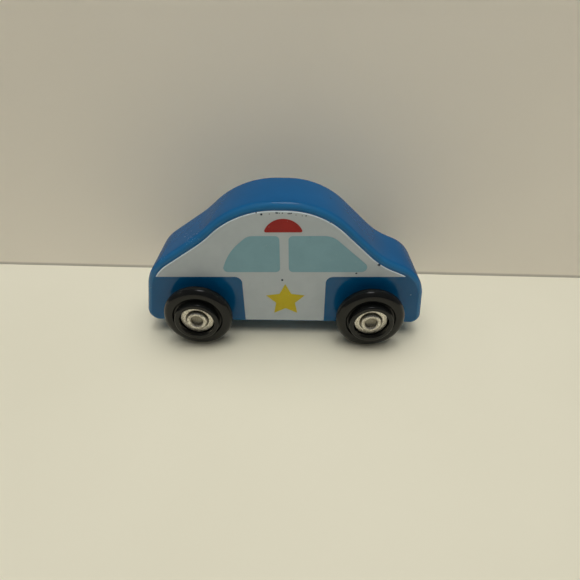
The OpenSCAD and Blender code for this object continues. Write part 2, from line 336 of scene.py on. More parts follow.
@dataclass(frozen=True)
class PrintInk:
    """A printed layer of paint, with a faint mottle, pinholes and the grain of the wood below it."""

    name: str
    tint: Colour
    deep: Colour
    roughness: float = 0.32
    specular: float = 0.3
    mottle: float = 240.0
    haze: float = 300.0
    gloss_swing: Span = (0.05, 0.08)
    grain: Triple = (45.0, 800.0, 800.0)
    grain_depth: float = 1.5e-5
    ripple: float = 1500.0
    ripple_depth: float = 4e-6
    pinhole: float = 3100.0
    pinhole_span: Span = (0.76, 0.8)
    pinhole_tint: Colour = (0.72, 0.75, 0.74)

    def base(self, s: Shading) -> Socket:
        """Returns the ink's colour before wear."""
        return s.mix(s.ramp(s.noise(self.mottle, 4.0), NOISE_LOW, NOISE_HIGH), self.deep, self.tint)

    def relief(self, s: Shading, under: Value = None) -> None:
        """Wires the ink's gloss and relief.

        Args:
            s: The material's nodes.
            under: Normal of a larger form below the relief.
        """
        s.feed("Roughness", s.gloss(self.haze, self.roughness, *self.gloss_swing))
        s.fixed(Specular_IOR_Level=self.specular)
        grain = s.bump(s.noise(1.0, 3.0, s.stretched(self.grain)), self.grain_depth, under)
        s.feed("Normal", s.bump(s.noise(self.ripple, 2.0), self.ripple_depth, grain))

    def material(self) -> bpy.types.Material:
        """Makes the printed finish.

        Returns:
            The material.
        """
        s = Shading(self.name)
        pinholes = s.ramp(s.noise(self.pinhole, 1.0), *self.pinhole_span)
        s.feed("Base Color", s.mix(pinholes, self.base(s), self.pinhole_tint))
        self.relief(s)
        return s.made


@dataclass(frozen=True)
class WhiteInk(PrintInk):
    """The white layer, chipped along its upper edge and at a few places on the side, with a painted highlight
    along its upper rim.
    """

    chip: Colour = (0.008, 0.03, 0.07)
    lip_highlight_tint: Colour = (0.84, 0.95, 1.0)
    lip_depth: float = 2.5e-4
    lip_from: float = 0.55
    lip_full: float = 0.75
    marks: tuple[Triple, ...] = (
        (-6.48, 45.39, 0.36), (-4.2, 45.55, 0.16), (-2.2, 45.92, 0.28), (-1.85, 45.88, 0.24),
        (-1.3, 45.85, 0.18), (-0.45, 45.85, 0.2), (1.2, 45.72, 0.22), (1.65, 45.74, 0.26), (2.05, 45.82, 0.2),
        (3.44, 45.35, 0.17), (5.2, 45.1, 0.17), (6.3, 45.1, 0.22), (13.37, 43.14, 0.24), (21.0, 37.8, 0.22),
        (29.38, 28.83, 0.48), (22.65, 25.6, 0.3), (-0.58, 22.67, 0.38), (-7.9, 45.9, 0.22),
    )
    mark_ragged: float = 0.28
    left_first: int = 7
    left_stretch: float = -0.8
    left_shift: float = 3.0
    side_y: float = 10.62
    fray: float = 1300.0
    fray_lift: float = 0.12
    fray_span: Span = (0.84, 0.87)

    def material(self) -> bpy.types.Material:
        """Makes the printed finish with its chips.

        Returns:
            The material.
        """
        s = Shading(self.name)
        right = [(x, -self.side_y, z, r) for x, z, r in self.marks]
        stretch, shift = self.left_stretch, self.left_shift
        left = [(stretch * x + shift, self.side_y, z, r) for x, z, r in self.marks[self.left_first:]]
        chips = s.spots(right + left, self.mark_ragged)
        rim = s.attribute("rim")
        fray = s.math("MULTIPLY_ADD", rim, self.fray_lift, s.noise(self.fray, 3.0))
        chips = s.math("MAXIMUM", chips, s.ramp(fray, *self.fray_span))
        # A painted highlight lightens the white along its rounded upper rim, over the bump that rounds it.
        lip_highlight = s.ramp(rim, self.lip_from, self.lip_full)
        colour = s.mix(lip_highlight, self.base(s), self.lip_highlight_tint)
        s.feed("Base Color", s.mix(chips, colour, self.chip))
        self.relief(s, s.bump(s.ramp(rim, self.lip_from, 1.0, 1.0, 0.0), self.lip_depth))
        return s.made


@dataclass(frozen=True)
class WheelPlastic:
    """Black moulded plastic with a satin face, faint turning marks and dust on the tread."""

    base: Colour = (0.005, 0.0055, 0.005)
    dust: Colour = (0.036, 0.036, 0.032)
    roughness: float = 0.15
    specular: float = 0.36
    tread_from: float = 10.2
    tread_full: float = 11.1
    tread_dust: float = 0.3
    face_dust: float = 0.1
    dust_rough: float = 0.2
    smear: float = 420.0
    smear_span: Span = (0.45, 0.75)
    haze: float = 500.0
    gloss_swing: Span = (0.05, 0.08)
    marks: float = 2600.0
    mark_depth: float = 5e-6
    pores: float = 2400.0
    pore_depth: float = 3e-6

    def material(self) -> bpy.types.Material:
        """Makes the moulded finish.

        Returns:
            The material.
        """
        s = Shading("black_moulded_plastic")
        radius = s.attribute("hub_radius")
        tread = s.ramp(radius, self.tread_from * MM, self.tread_full * MM)
        smear = s.ramp(s.noise(self.smear, 5.0), *self.smear_span)
        dusty = s.math("MULTIPLY_ADD", tread, self.tread_dust, self.face_dust)
        dusty = s.math("MULTIPLY", dusty, smear)
        s.feed("Base Color", s.mix(dusty, self.base, self.dust))
        gloss = s.gloss(self.haze, self.roughness, *self.gloss_swing)
        s.feed("Roughness", s.math("MULTIPLY_ADD", dusty, self.dust_rough, gloss))
        s.fixed(Specular_IOR_Level=self.specular)
        turned = s.bump(s.rings(radius, self.marks), self.mark_depth)
        s.feed("Normal", s.bump(s.noise(self.pores, 2.0), self.pore_depth, turned))
        return s.made


@dataclass(frozen=True)
class HubSteel:
    """Bright plated steel with a fine grain, turning marks, and dirt and painted shade around the rolled end.
    """

    bright: Colour = (0.82, 0.79, 0.72)
    dull: Colour = (0.48, 0.45, 0.38)
    grime_and_shade: Colour = (0.05, 0.045, 0.035)
    hole: Colour = (0.24, 0.22, 0.17)
    roughness: float = 0.36
    hole_r: float = 1.95
    hole_edge: float = 0.25
    hole_share: float = 0.7
    hole_rough: float = 0.2
    grain: float = 2300.0
    grain_span: Span = (0.38, 0.6)
    grain_depth: float = 4.5e-5
    gloss_swing: Span = (0.06, 0.08)
    soil_and_shade_mottle: float = 900.0
    soil_and_shade_span: Span = (0.05, 0.4)
    marks: float = 3000.0
    mark_depth: float = 8e-6

    def material(self) -> bpy.types.Material:
        """Makes the metal finish.

        Returns:
            The material.
        """
        s = Shading("bright_plated_steel")
        s.fixed(Metallic=1.0)
        radius = s.attribute("hub_radius")
        depth = s.attribute("hub_crease")
        grain = s.noise(self.grain, 3.0)
        tone = s.mix(s.ramp(grain, *self.grain_span), self.dull, self.bright)
        # Darkens the crease under and around the rolled end: partly dirt, partly painted shade.
        soil_and_shade = s.math("MULTIPLY", depth, s.ramp(s.noise(self.soil_and_shade_mottle, 3.0), *self.soil_and_shade_span))
        tone = s.mix(soil_and_shade, tone, self.grime_and_shade)
        inner, outer = (self.hole_r - self.hole_edge) * MM, self.hole_r * MM
        within = s.ramp(radius, inner, outer, self.hole_share, 0.0)
        s.feed("Base Color", s.mix(within, tone, self.hole))
        less, more = self.gloss_swing
        gloss = s.ramp(grain, NOISE_LOW, NOISE_HIGH, self.roughness + more, self.roughness - less)
        s.feed("Roughness", s.math("MULTIPLY_ADD", within, self.hole_rough, gloss))
        turned = s.bump(s.rings(radius, self.marks), self.mark_depth)
        s.feed("Normal", s.bump(grain, self.grain_depth, turned))
        return s.made


@dataclass(frozen=True)
class Backdrop:
    """A matt pale surface of the studio, with painted shade at a wall's foot. A one-sided one shows only from
    its front.
    """

    name: str
    tint: Colour
    shade: Colour
    one_sided: bool = False
    glow: float = 0.0
    foot_h: float = 0.0
    foot_shade_share: float = 0.4
    foot_from: float = 0.3
    roughness: float = 0.75
    mottle: float = 9.0

    def material(self) -> bpy.types.Material:
        """Makes the studio finish.

        Returns:
            The material.
        """
        s = Shading(self.name)
        colour = s.mix(s.ramp(s.noise(self.mottle, 3.0), NOISE_LOW, NOISE_HIGH), self.shade, self.tint)
        # Painted shade darkens the wall towards its foot, where it meets the floor.
        if self.foot_h > 0:
            height, low = s.split(s.coords)[2], self.foot_from * self.foot_h
            foot = s.ramp(height, low, self.foot_h, self.foot_shade_share, 0.0)
            colour = s.mix(foot, colour, (0.0, 0.0, 0.0))
        s.feed("Base Color", colour)
        s.fixed(Roughness=self.roughness)
        if self.glow > 0:
            ray = s.add("ShaderNodeLightPath").outputs
            seen = s.math("MAXIMUM", ray["Is Camera Ray"], ray["Is Glossy Ray"])
            seen = s.math("MAXIMUM", seen, ray["Is Transmission Ray"])
            s.feed("Emission Color", colour)
            s.feed("Emission Strength", s.math("MULTIPLY", seen, self.glow))
        if self.one_sided:
            behind = s.add("ShaderNodeNewGeometry").outputs["Backfacing"]
            clear = s.add("ShaderNodeBsdfTransparent").outputs[0]
            both = s.add("ShaderNodeMixShader", {0: behind, 1: s.shader.outputs[0], 2: clear})
            s.tree.links.new(both.outputs[0], s.tree.nodes["Material Output"].inputs[0])
        return s.made


def corner_legs(
    here: np.ndarray, before: np.ndarray, after: np.ndarray,
) -> tuple[np.ndarray, np.ndarray, float]:
    """Finds the two sides of a corner.

    Args:
        here: The corner.
        before: The corner before it.
        after: The corner after it.

    Returns:
        Directions of the side before and the side after, and half the angle between them.
    """
    back, ahead = before - here, after - here
    back, ahead = back / np.linalg.norm(back), ahead / np.linalg.norm(ahead)
    return back, ahead, math.acos(float(np.clip(back @ ahead, -1, 1))) / 2


def corner_arc(
    here: np.ndarray, before: np.ndarray, after: np.ndarray, radius: float, step_deg: float, least: int,
) -> tuple[np.ndarray, np.ndarray]:
    """Rounds one corner.

    Args:
        here: The corner.
        before: The corner before it.
        after: The corner after it.
        radius: Radius of the rounding.
        step_deg: Largest turn from one point to the next.
        least: Least number of steps.

    Returns:
        Points of the arc, and their directions out of a line that runs counter-clockwise.
    """
    back, ahead, half = corner_legs(here, before, after)
    middle = here + (back + ahead) / np.linalg.norm(back + ahead) * radius / math.sin(half)
    first = here + back * radius / math.tan(half) - middle
    bend = math.copysign(1.0, ahead[0] * back[1] - ahead[1] * back[0])
    sweep = math.pi - 2 * half
    steps = max(least, math.ceil(math.degrees(sweep) / step_deg))
    start = math.atan2(first[1], first[0])
    turns = [start + bend * sweep * k / steps for k in range(steps + 1)]
    outs = np.array([[math.cos(a), math.sin(a)] for a in turns])
    return middle + radius * outs, bend * outs


@dataclass(frozen=True)
class Corner:
    """A corner of an outline before rounding, with the edge radius where its arc starts and ends."""

    x: float
    z: float
    radius: float
    edge_in: float = 0.0
    edge_out: float = 0.0


@dataclass(frozen=True)
class Outline:
    """A closed outline with rounded corners, counter-clockwise as seen from the right side."""

    corners: tuple[Corner, ...]
    step_deg: float = 1.5
    least: int = 2
    land: float = 0.4

    def place(self, i: int) -> np.ndarray:
        """Returns corner i before rounding."""
        corner = self.corners[i % len(self.corners)]
        return np.array([corner.x, corner.z])

    def share(self, i: int) -> float:
        """Finds how much of their full length the two corners of a side can have.

        Args:
            i: Number of the side, which is that of its first corner.

        Returns:
            A share up to 1.
        """
        wanted = 0.0
        for k in (i, i + 1):
            half = corner_legs(self.place(k), self.place(k - 1), self.place(k + 1))[2]
            wanted += self.corners[k % len(self.corners)].radius / math.tan(half)
        side = float(np.linalg.norm(self.place(i + 1) - self.place(i)))
        return min(1.0, side / (wanted + self.land))

    def samples(self) -> tuple[np.ndarray, np.ndarray, np.ndarray]:
        """Samples the rounded outline.

        Returns:
            Points, outward normals and edge radii, in millimetres.
        """
        points, normals, edges = [], [], []
        for i, corner in enumerate(self.corners):
            radius = corner.radius * min(self.share(i - 1), self.share(i))
            places = self.place(i), self.place(i - 1), self.place(i + 1)
            arc, outs = corner_arc(*places, radius, self.step_deg, self.least)
            points.append(arc)
            normals.append(outs)
            share = np.arange(len(arc))
            edges.append(corner.edge_in + (corner.edge_out - corner.edge_in) * share / share[-1])
        return np.concatenate(points), np.concatenate(normals), np.concatenate(edges)

    def points(self) -> np.ndarray:
        """Returns the points of the rounded outline, in millimetres."""
        return self.samples()[0]


def inside(points: np.ndarray, loop: np.ndarray) -> np.ndarray:
    """Tests which points lie inside a closed loop.

    Args:
        points: Points to test.
        loop: Corners of the loop.

    Returns:
        True for each point inside.
    """
    a, b = loop, np.roll(loop, -1, axis=0)
    x, z = points[:, :1], points[:, 1:]
    spans = (a[:, 1] > z) != (b[:, 1] > z)
    rise = np.where(b[:, 1] == a[:, 1], TINY, b[:, 1] - a[:, 1])
    cross = a[:, 0] + (z - a[:, 1]) / rise * (b[:, 0] - a[:, 0])
    return (np.logical_and(spans, x < cross).sum(axis=1) % 2).astype(bool)


def distance_out(points: np.ndarray, loop: np.ndarray) -> np.ndarray:
    """Measures how far points lie outside a closed loop.

    Args:
        points: Points to measure.
        loop: Corners of the loop.

    Returns:
        Distances, negative inside.
    """
    a, b = loop, np.roll(loop, -1, axis=0)
    along = b - a
    length = np.maximum((along ** 2).sum(axis=1), TINY)
    share = np.clip(((points[:, None] - a) * along).sum(axis=2) / length, 0, 1)
    far = np.linalg.norm(points[:, None] - (a + share[..., None] * along), axis=2)
    far = far.min(axis=1)
    return np.where(inside(points, loop), -far, far)


def new_object(name: str, data: bpy.types.ID) -> Piece:
    """Adds a mesh, a lamp or a camera to the scene.

    Args:
        name: Name of the object.
        data: Its mesh, lamp or camera.

    Returns:
        The new object.
    """
    made = bpy.data.objects.new(name, data)
    bpy.context.scene.collection.objects.link(made)
    return made


def tidy(mesh: bpy.types.Mesh, sharp_deg: float = 32.0) -> None:
    """Merges doubles, turns faces outwards and smooths all but sharp edges.

    Args:
        mesh: The mesh to finish.
        sharp_deg: Angle from which an edge stays sharp.
    """
    work = bmesh.new()
    work.from_mesh(mesh)
    bmesh.ops.remove_doubles(work, verts=work.verts, dist=WELD)
    bmesh.ops.recalc_face_normals(work, faces=work.faces)
    work.to_mesh(mesh)
    work.free()
    mesh.shade_smooth()
    mesh.set_sharp_from_angle(angle=math.radians(sharp_deg))


class RuleTree(Graph):
    """A geometry tree with named inputs, which makes one piece by a rule."""

    def __init__(self, name: str, inputs: dict[str, str]) -> None:
        """Makes the tree with its sockets.

        Args:
            name: Name of the tree.
            inputs: Socket type of each input by name, after the geometry.
        """
        tree = bpy.data.node_groups.new(name, "GeometryNodeTree")
        super().__init__(tree)
        face = tree.interface
        face.new_socket("Shape", in_out="INPUT", socket_type="NodeSocketGeometry")
        face.new_socket("Shape", in_out="OUTPUT", socket_type="NodeSocketGeometry")
        self.keys = {}
        for label, kind in inputs.items():
            self.keys[label] = face.new_socket(label, in_out="INPUT", socket_type=kind).identifier
        self.given = self.add("NodeGroupInput").outputs

    def sample(self, value: Value, kind: str, index: Value) -> Socket:
        """Returns a value of the given geometry, read at one of its points."""
        inputs = {"Geometry": self.given["Shape"], "Value": value, "Index": index}
        return self.add("GeometryNodeSampleIndex", inputs, data_type=kind).outputs[0]

    def named(self, name: str, kind: str) -> Socket:
        """Returns an attribute of the geometry by its name."""
        return self.add("GeometryNodeInputNamedAttribute", {"Name": name}, data_type=kind).outputs[0]

    def count(self) -> Socket:
        """Returns the number of points of the given geometry."""
        node = self.add("GeometryNodeAttributeDomainSize", {0: self.given["Shape"]}, component="MESH")
        return node.outputs["Point Count"]

    def grid(self, rows: Value, columns: Value) -> tuple[Socket, ...]:
        """Adds a grid of points.

        Args:
            rows: Number of rows.
            columns: Number of points in a row.

        Returns:
            The grid, and each point's row and column.
        """
        mesh = self.add("GeometryNodeMeshGrid", {"Vertices X": rows, "Vertices Y": columns}).outputs[0]
        index = self.add("GeometryNodeInputIndex").outputs[0]
        row = self.math("FLOOR", self.math("DIVIDE", self.math("ADD", index, 0.5), columns))
        column = self.math("SUBTRACT", index, self.math("MULTIPLY", row, columns))
        return mesh, row, column

    def close(self, shape: Socket) -> None:
        """Ends the tree: welds, realizes and sets the material.

        Args:
            shape: The finished geometry.
        """
        weld = self.add("GeometryNodeMergeByDistance", {"Geometry": shape, "Distance": WELD}).outputs[0]
        real = self.add("GeometryNodeRealizeInstances", {0: weld}).outputs[0]
        done = self.add("GeometryNodeSetMaterial", {"Geometry": real, "Material": self.given["Finish"]})
        self.add("NodeGroupOutput", {"Shape": done.outputs[0]})

    def make(self, name: str, start: bpy.types.Mesh, values: dict[str, Value]) -> Piece:
        """Runs the rule once.

        Args:
            name: Name of the piece.
            start: Mesh that the rule starts from.
            values: A value for each input by name.

        Returns:
            The piece as a plain mesh.
        """
        source = new_object(name + "_rule", start)
        modifier = source.modifiers.new("Rule", "NODES")
        modifier.node_group = self.tree
        for label, value in values.items():
            modifier[self.keys[label]] = value
        bpy.context.view_layer.update()
        depsgraph = bpy.context.evaluated_depsgraph_get()
        mesh = bpy.data.meshes.new_from_object(source.evaluated_get(depsgraph))
        source.modifiers.remove(modifier)
        bpy.data.objects.remove(source)
        bpy.data.meshes.remove(start)
        mesh.name = name
        tidy(mesh)
        return new_object(name, mesh)


def turned_tree() -> RuleTree:
    """Builds the rule that turns a section about an axle.

    Returns:
        The tree, for sections of radius and Y.
    """
    t = RuleTree("Turned piece", {
        "Steps": "NodeSocketInt", "Centre": "NodeSocketVector", "Finish": "NodeSocketMaterial",
    })
    steps = t.given["Steps"]
    mesh, row, column = t.grid(t.count(), t.math("ADD", steps, 1.0))
    spot = t.sample(t.add("GeometryNodeInputPosition").outputs[0], "FLOAT_VECTOR", row)
    radius, across, _ = t.split(spot)
    turn = t.math("MULTIPLY", t.math("DIVIDE", column, steps), math.tau)
    ring = t.join(
        t.math("MULTIPLY", radius, t.math("COSINE", turn)), across,
        t.math("MULTIPLY", radius, t.math("SINE", turn)),
    )
    crease = t.sample(t.named("crease", "FLOAT"), "FLOAT", row)
    for name, value in (("hub_radius", radius), ("hub_crease", crease)):
        inputs = {"Geometry": mesh, "Name": name, "Value": value}
        mesh = t.add("GeometryNodeStoreNamedAttribute", inputs, data_type="FLOAT", domain="POINT").outputs[0]
    place = t.vector("ADD", ring, t.given["Centre"])
    t.close(t.add("GeometryNodeSetPosition", {"Geometry": mesh, "Position": place}).outputs[0])
    return t


def block_tree() -> RuleTree:
    """Builds the rule that makes the block: rounded skin, flat sides and two bores.

    Returns:
        The tree, for an outline with outward normals and edge radii.
    """
    t = RuleTree("Rounded block", {
        "Half width": "NodeSocketFloat", "Edge steps": "NodeSocketInt", "Flat inset": "NodeSocketFloat",
        "Bore radius": "NodeSocketFloat", "Front axle": "NodeSocketVector", "Rear axle": "NodeSocketVector",
        "Finish": "NodeSocketMaterial",
    })
    half, steps, inset = t.given["Half width"], t.given["Edge steps"], t.given["Flat inset"]
    count = t.count()
    last = t.math("MULTIPLY_ADD", steps, 2.0, 1.0)
    mesh, row, column = t.grid(t.math("ADD", last, 3.0), t.math("ADD", count, 1.0))
    point = t.math("MODULO", column, count)
    spot = t.sample(t.add("GeometryNodeInputPosition").outputs[0], "FLOAT_VECTOR", point)
    outward = t.sample(t.named("outward", "FLOAT_VECTOR"), "FLOAT_VECTOR", point)
    edge = t.sample(t.named("edge", "FLOAT"), "FLOAT", point)
    level = t.math("MINIMUM", t.math("MAXIMUM", t.math("SUBTRACT", row, 1.0), 0.0), last)
    ends = t.math("ABSOLUTE", t.math("SUBTRACT", t.math("SUBTRACT", row, 1.0), level))
    near = t.math("MINIMUM", level, t.math("SUBTRACT", last, level))
    turn = t.math("MULTIPLY", t.math("DIVIDE", near, steps), math.pi / 2)
    sunk = t.math("MULTIPLY", edge, t.math("SUBTRACT", 1.0, t.math("SINE", turn)))
    inward = t.math("MULTIPLY_ADD", ends, inset, sunk)
    rolled = t.math("MULTIPLY", edge, t.math("SUBTRACT", 1.0, t.math("COSINE", turn)))
    middle = t.math("MULTIPLY", last, 0.5)
    way = t.math("SIGN", t.math("SUBTRACT", level, middle))
    depth = t.math("MULTIPLY", way, t.math("SUBTRACT", half, rolled))
    skin = t.vector("SUBTRACT", spot, t.vector("SCALE", outward, inward))
    skin = t.vector("ADD", skin, t.join(0.0, depth, 0.0))
    parts = [t.add("GeometryNodeSetPosition", {"Geometry": mesh, "Position": skin}).outputs[0]]
    reach = t.math("ADD", t.named("edge", "FLOAT"), inset)
    back = t.vector("SCALE", t.named("outward", "FLOAT_VECTOR"), t.math("MULTIPLY", reach, -1.0))
    for way in (Side.RIGHT, Side.LEFT):
        shift = t.vector("ADD", back, t.join(0.0, t.math("MULTIPLY", half, float(way.value)), 0.0))
        flat = {"Geometry": t.given["Shape"], "Offset": shift}
        parts.append(t.add("GeometryNodeSetPosition", flat).outputs[0])
    shell = t.add("GeometryNodeJoinGeometry")
    for part in reversed(parts):
        t.tree.links.new(part, shell.inputs[0])
    weld = {"Geometry": shell.outputs[0], "Distance": WELD}
    welded = t.add("GeometryNodeMergeByDistance", weld).outputs[0]
    deep = t.math("MULTIPLY", half, DRILL_REACH)
    drill = {"Vertices": BORE_SIDES, "Radius": t.given["Bore radius"], "Depth": deep}
    cutter = t.add("GeometryNodeMeshCylinder", drill).outputs[0]
    cut = t.add("GeometryNodeMeshBoolean", {"Mesh 1": welded}, operation="DIFFERENCE", solver="EXACT")
    for name in ("Front axle", "Rear axle"):
        move = {"Geometry": cutter, "Translation": t.given[name], "Rotation": (math.pi / 2, 0.0, 0.0)}
        t.tree.links.new(t.add("GeometryNodeTransform", move).outputs[0], cut.inputs["Mesh 2"])
    t.close(cut.outputs[0])
    return t


def dress(piece: Piece, body: str, slot: Slot, *nodes: str) -> None:
    """Ties a finished piece to its body and hides the CAD nodes that it stands for.

    Args:
        piece: The finished piece.
        body: CAD body that it moves with.
        slot: Material slot of the record; not used.
        nodes: CAD nodes that it replaces.
    """
    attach(piece, body)
    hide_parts(*nodes)
    LOG.info("%s rides on %s with %d faces", piece.name, body, len(piece.data.polygons))


@dataclass
class Block:
    """The painted wooden block, in millimetres.

    A foot is a lower corner's X and rounding, and an upper corner is its X, Z and rounding.
    """

    finish: bpy.types.Material
    width: float = 21.0
    ground_gap: float = 5.3
    edge_r: float = 2.0
    under_edge_r: float = 0.6
    flat_inset: float = 0.4
    edge_steps: int = 14
    bore_d: float = 5.1
    rear_foot: tuple[float, float] = (-47.3, 3.7)
    front_foot: tuple[float, float] = (46.9, 3.1)
    upper_corners: tuple[Triple, ...] = (
        (44.6, 24.5, 13.5), (31.0, 30.3, 24.5), (11.4, 48.8, 27.0),
        (-14.4, 48.8, 30.0), (-25.7, 38.0, 43.0), (-43.2, 25.9, 15.5),
    )

    def outline(self) -> Outline:
        """Draws the block's outline from the side.

        Returns:
            The outline.
        """
        e, u, low = self.edge_r, self.under_edge_r, self.ground_gap
        (rear, rear_r), (front, front_r) = self.rear_foot, self.front_foot
        return Outline((
            Corner(rear, low, rear_r, e, u), Corner(front, low, front_r, u, e),
            *(Corner(*row, e, e) for row in self.upper_corners),
        ))

    def build(self, axles: dict[End, Vector]) -> Piece:
        """Makes the block around its axles.

        Args:
            axles: Middle of each axle, in metres.

        Returns:
            The block.
        """
        points, normals, edges = self.outline().samples()
        mesh = bpy.data.meshes.new("block_outline")
        places = [(x * MM, 0.0, z * MM) for x, z in points]
        mesh.from_pydata(places, [], [tuple(range(len(places)))])
        outward = mesh.attributes.new("outward", "FLOAT_VECTOR", "POINT")
        outward.data.foreach_set("vector", np.insert(normals, 1, 0.0, axis=1).astype(np.float32).ravel())
        edge = mesh.attributes.new("edge", "FLOAT", "POINT")
        edge.data.foreach_set("value", (edges * MM).astype(np.float32))
        piece = block_tree().make("car_body", mesh, {
            "Half width": self.width / 2 * MM, "Edge steps": self.edge_steps,
            "Flat inset": self.flat_inset * MM, "Bore radius": self.bore_d / 2 * MM,
            "Front axle": axles[End.FRONT], "Rear axle": axles[End.REAR], "Finish": self.finish,
        })
        dress(piece, "car", Slot.BLUE, "body")
        return piece


@dataclass
class SidePrint:
    """The printed layers of one side, in millimetres."""

    block: Block
    finishes: dict[Slot, bpy.types.Material]
    panel_t: float = 0.12
    ink_t: float = 0.08
    tuck: float = 0.05
    tilt_deg: float = 0.85
    line_z: float = 23.9
    roof_z: float = 48.8
    door_shift: float = -0.1
    door_w: float = 26.7
    door_r: float = 2.4
    panel_drop: float = 0.28
    bevel_w: float = 0.34
    bevel_h: float = 0.1
    rim_w: float = 0.9
    sharp_deg: float = 30.0
    art_reach: float = 60.0
    art_low: float = -5.0
    art_rise: float = 10.0
    sill_z: float = 25.75
    head_z: float = 38.5
    window_r: float = 1.4
    rear_post_x: float = -1.2
    rear_sill_x: float = -19.6
    rear_head_x: float = -10.7
    rear_head_r: float = 4.0
    rear_swell: float = 1.85
    rear_swell_r: float = 18.0
    front_post_x: float = 1.5
    front_sill_x: float = 28.5
    front_sill_r: float = 1.7
    front_head_x: float = 14.6
    front_head_r: float = 6.7
    beacon_r: float = 6.05
    beacon_h: float = 4.35
    beacon_top: float = 44.1
    beacon_corner_r: float = 0.5
    beacon_steps: int = 40
    star_shift: float = 0.4
    star_drop: float = 9.4
    star_r: float = 6.6
    star_inner_r: float = 3.3
    star_tips: int = 5

    def tilted(self, points: np.ndarray) -> np.ndarray:
        """Turns points of the artwork about the middle of the line.

        Args:
            points: Points as the artwork was drawn.

        Returns:
            The points as they are printed.
        """
        turn = math.radians(self.tilt_deg)
        spin = np.array([[math.cos(turn), math.sin(turn)], [-math.sin(turn), math.cos(turn)]])
        pivot = np.array([0.0, self.line_z])
        return (points - pivot) @ spin + pivot

    def figure(self, *rows: Sequence[float]) -> np.ndarray:
        """Returns the printed edge of a figure, from the place and rounding of each corner."""
        return self.tilted(Outline(tuple(Corner(*row) for row in rows)).points())

    def panel_loop(self) -> np.ndarray:
        """Draws the white's own edge: all above the line, and the door below it.

        Returns:
            The edge's points.
        """
        rear, front = self.door_shift - self.door_w / 2, self.door_shift + self.door_w / 2
        line, low, high, wide = self.line_z, self.art_low, self.roof_z + self.art_rise, self.art_reach
        places = (
            (-wide, line), (rear, line), (rear, low), (front, low),
            (front, line), (wide, line), (wide, high), (-wide, high),
        )
        return self.figure(*((x, z, self.door_r) for x, z in places))

    def rear_window(self) -> np.ndarray:
        """Draws the rear window's edge, swelled at the rear.

        Returns:
            The edge's points.
        """
        post, r = self.rear_post_x, self.window_r
        sill, head = np.array([self.rear_sill_x, self.sill_z]), np.array([self.rear_head_x, self.head_z])
        run = (head - sill) / np.linalg.norm(head - sill)
        bend = (sill + head) / 2 + self.rear_swell * np.array([-run[1], run[0]])
        return self.figure(
            (*sill, r), (post, self.sill_z, r), (post, self.head_z, r),
            (*head, self.rear_head_r), (*bend, self.rear_swell_r),
        )

    def front_window(self) -> np.ndarray:
        """Draws the front window's edge.

        Returns:
            The edge's points.
        """
        post, r = self.front_post_x, self.window_r
        return self.figure(
            (post, self.sill_z, r), (self.front_sill_x, self.sill_z, self.front_sill_r),
            (self.front_head_x, self.head_z, self.front_head_r), (post, self.head_z, r),
        )

    def beacon(self) -> np.ndarray:
        """Draws the beacon's edge: a dome over a straight foot with rounded corners.

        Returns:
            The edge's points.
        """
        r, steps = self.beacon_corner_r, self.beacon_steps
        dome_z = self.beacon_top - self.beacon_r
        lift = self.beacon_top - self.beacon_h + r - dome_z
        reach = math.sqrt((self.beacon_r - r) ** 2 - lift ** 2)
        rise = math.atan2(lift, reach)
        arcs = (
            (0.0, dome_z, self.beacon_r, rise, math.pi - rise),
            (-reach, dome_z + lift, r, math.pi - rise, 1.5 * math.pi),
            (reach, dome_z + lift, r, 1.5 * math.pi, 2 * math.pi + rise),
        )
        turns = [
            (x, z, q, a + (b - a) * k / steps)
            for x, z, q, a, b in arcs for k in range(steps + 1 if q == r else steps)
        ]
        return self.tilted(np.array([[x + q * math.cos(a), z + q * math.sin(a)] for x, z, q, a in turns]))

    def star(self) -> np.ndarray:
        """Draws the star's edge.

        Returns:
            The edge's points.
        """
        middle = np.array([self.door_shift + self.star_shift, self.line_z - self.star_drop])
        turns = [math.pi / 2 + math.pi * k / self.star_tips for k in range(2 * self.star_tips)]
        radii = (self.star_r, self.star_inner_r)
        tips = [[radii[k % 2] * math.cos(a), radii[k % 2] * math.sin(a)] for k, a in enumerate(turns)]
        return self.tilted(middle + np.array(tips))

    def film(
        self, name: str, side: Side, loops: list[np.ndarray], keep: Callable[[np.ndarray], np.ndarray],
        front: Callable[[np.ndarray], np.ndarray], thickness: float, slot: Slot,
    ) -> Piece:
        """Makes one closed printed layer.

        Args:
            name: Name of the piece, after the side.
            side: Side of the car.
            loops: Closed lines that the layer's mesh follows.
            keep: Says which points belong to the layer.
            front: Distance of the layer's face from the car's middle, for each point.
            thickness: Thickness, with what is tucked into the layer below.
            slot: Slot of the ink.

        Returns:
            The layer.
        """
        starts = np.cumsum([0] + [len(loop) for loop in loops])
        rims = [
            (first + k, first + (k + 1) % len(loop))
            for first, loop in zip(starts, loops) for k in range(len(loop))
        ]
        flat = [Vector(p) for loop in loops for p in loop.tolist()]
        found = delaunay_2d_cdt(flat, rims, [], 0, MERGE)
        points = np.array([tuple(v) for v in found[0]])
        faces = np.array([tuple(f) for f in found[2]])
        faces = faces[keep(points[faces].mean(axis=1))]
        used, faces = np.unique(faces, return_inverse=True)
        points, faces = points[used], faces.reshape(-1, 3)
        reach = front(points)
        rings = [
            np.column_stack([points[:, 0], side.value * (reach - drop), points[:, 1]])
            for drop in (0.0, thickness)
        ]
        size = len(points)
        pairs = np.concatenate([faces[:, [0, 1]], faces[:, [1, 2]], faces[:, [2, 0]]])
        keys = {tuple(p) for p in pairs.tolist()}
        walls = [(b, a, a + size, b + size) for a, b in keys if (b, a) not in keys]
        shells = faces.tolist() + (faces[:, ::-1] + size).tolist()
        mesh = bpy.data.meshes.new(f"{side.label}_{name}")
        mesh.from_pydata((np.concatenate(rings) * MM).tolist(), [], shells + walls)
        rim = np.clip(1 + distance_out(points, self.upper_edge()) / self.rim_w, 0, 1)
